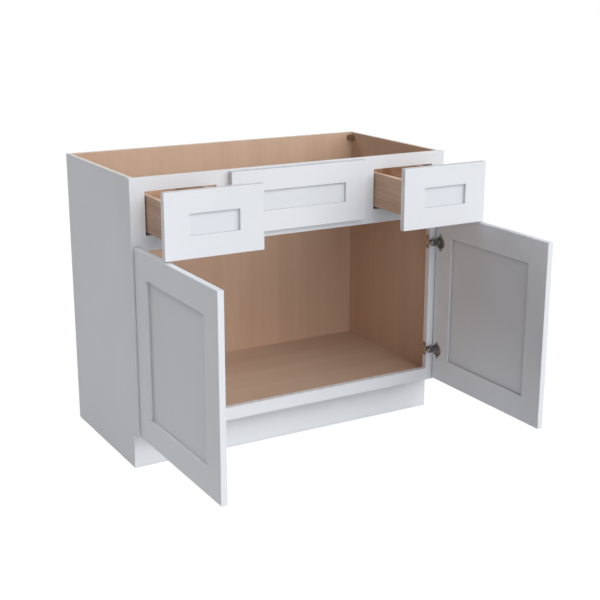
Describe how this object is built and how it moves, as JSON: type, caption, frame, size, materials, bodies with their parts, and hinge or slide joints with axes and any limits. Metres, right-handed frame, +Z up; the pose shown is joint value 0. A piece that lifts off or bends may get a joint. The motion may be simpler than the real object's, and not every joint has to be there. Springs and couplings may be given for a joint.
{
  "type": "vanity unit",
  "caption": "White face-frame bathroom vanity base with recessed-panel doors on concealed hinges, drawers on under-mount slides, a fixed false front and an open top for a sink.",
  "frame": {"origin": "on the floor under the middle of the face frame's front, which is the middle of the footprint with both doors open at a right angle", "axes": "+X to the right as seen from the front, +Y towards the wall behind, +Z up; the front faces -Y"},
  "size_m": [1.0668, 1.0653, 0.8763],
  "materials": {
    "painted_front": "satin white paint on wood",
    "painted_panel": "satin white paint on fibreboard",
    "painted_frame": "satin white paint on wood",
    "side_board": "plywood, white outside and tan laminate inside",
    "interior_board": "plywood with a tan wood-print laminate",
    "raw_ply": "unfinished plywood",
    "drawer_board": "clear-coated hardwood",
    "drawer_bottom": "plywood with a clear coat",
    "hinge_steel": "nickel-plated pressed steel",
    "cup_steel": "nickel-plated pressed steel",
    "slide_steel": "zinc-plated sheet steel",
    "bracket_plastic": "dark grey moulded plastic",
    "brace_plastic": "brown moulded plastic",
    "pad_rubber": "soft clear bumper"
  },
  "bodies": {
    "cabinet": {"side_left": "side_board", "side_right": "side_board", "back_panel": "interior_board", "nailer_top": "raw_ply", "nailer_bottom": "raw_ply", "deck": "interior_board", "deck_cleats": "raw_ply", "toe_board": "painted_frame", "stile_left": "painted_frame", "stile_right": "painted_frame", "top_rail": "painted_frame", "mid_rail": "painted_frame", "bottom_rail": "painted_frame", "mullion_left": "painted_frame", "mullion_right": "painted_frame", "braces_back": "brace_plastic", "braces_front": "brace_plastic", "false_front": "painted_front", "false_front_pads": "pad_rubber", "false_front_clips": "slide_steel", "left_hinge_arms": "hinge_steel", "right_hinge_arms": "hinge_steel", "left_slide_bases": "slide_steel", "right_slide_bases": "slide_steel", "left_slide_brackets": "bracket_plastic", "right_slide_brackets": "bracket_plastic"},
    "left_door": {"left_door_hinge_stile": "painted_front", "left_door_lock_stile": "painted_front", "left_door_top_rail": "painted_front", "left_door_bottom_rail": "painted_front", "left_door_panel": "painted_panel", "left_door_cups": "cup_steel", "left_door_bumpers": "pad_rubber"},
    "right_door": {"right_door_hinge_stile": "painted_front", "right_door_lock_stile": "painted_front", "right_door_top_rail": "painted_front", "right_door_bottom_rail": "painted_front", "right_door_panel": "painted_panel", "right_door_cups": "cup_steel", "right_door_bumpers": "pad_rubber"},
    "left_drawer": {"left_drawer_front": "painted_front", "left_box_outer_side": "drawer_board", "left_box_inner_side": "drawer_board", "left_box_front": "drawer_board", "left_box_back": "drawer_board", "left_box_bottom": "drawer_bottom", "left_slide_runners": "slide_steel", "left_drawer_locks": "bracket_plastic"},
    "right_drawer": {"right_drawer_front": "painted_front", "right_box_outer_side": "drawer_board", "right_box_inner_side": "drawer_board", "right_box_front": "drawer_board", "right_box_back": "drawer_board", "right_box_bottom": "drawer_bottom", "right_slide_runners": "slide_steel", "right_drawer_locks": "bracket_plastic"},
    "left_middle": {"left_slide_middles": "slide_steel"},
    "right_middle": {"right_slide_middles": "slide_steel"}
  },
  "joints": [
    {"name": "left_door_hinge", "type": "hinge", "parent": "cabinet", "child": "left_door", "pos_m": [-0.52145, -0.012, 0.40323], "axis": [0, 0, -1], "range_deg": [-90, 10]},
    {"name": "right_door_hinge", "type": "hinge", "parent": "cabinet", "child": "right_door", "pos_m": [0.52145, -0.012, 0.40323], "axis": [0, 0, 1], "range_deg": [-90, 10]},
    {"name": "left_drawer_slide", "type": "slide", "parent": "cabinet", "child": "left_drawer", "axis": [0, -1, 0], "range_m": [-0.1994, 0.2306]},
    {"name": "right_drawer_slide", "type": "slide", "parent": "cabinet", "child": "right_drawer", "axis": [0, -1, 0], "range_m": [-0.1994, 0.2306]},
    {"name": "left_middle_slide", "type": "slide", "parent": "cabinet", "child": "left_middle", "axis": [0, -1, 0], "range_m": [-0.0997, 0.1153]},
    {"name": "right_middle_slide", "type": "slide", "parent": "cabinet", "child": "right_middle", "axis": [0, -1, 0], "range_m": [-0.0997, 0.1153]}
  ],
  "couplings": [
    {"joint": "left_middle_slide", "follows": "left_drawer_slide", "ratio": 0.5},
    {"joint": "right_middle_slide", "follows": "right_drawer_slide", "ratio": 0.5}
  ]
}
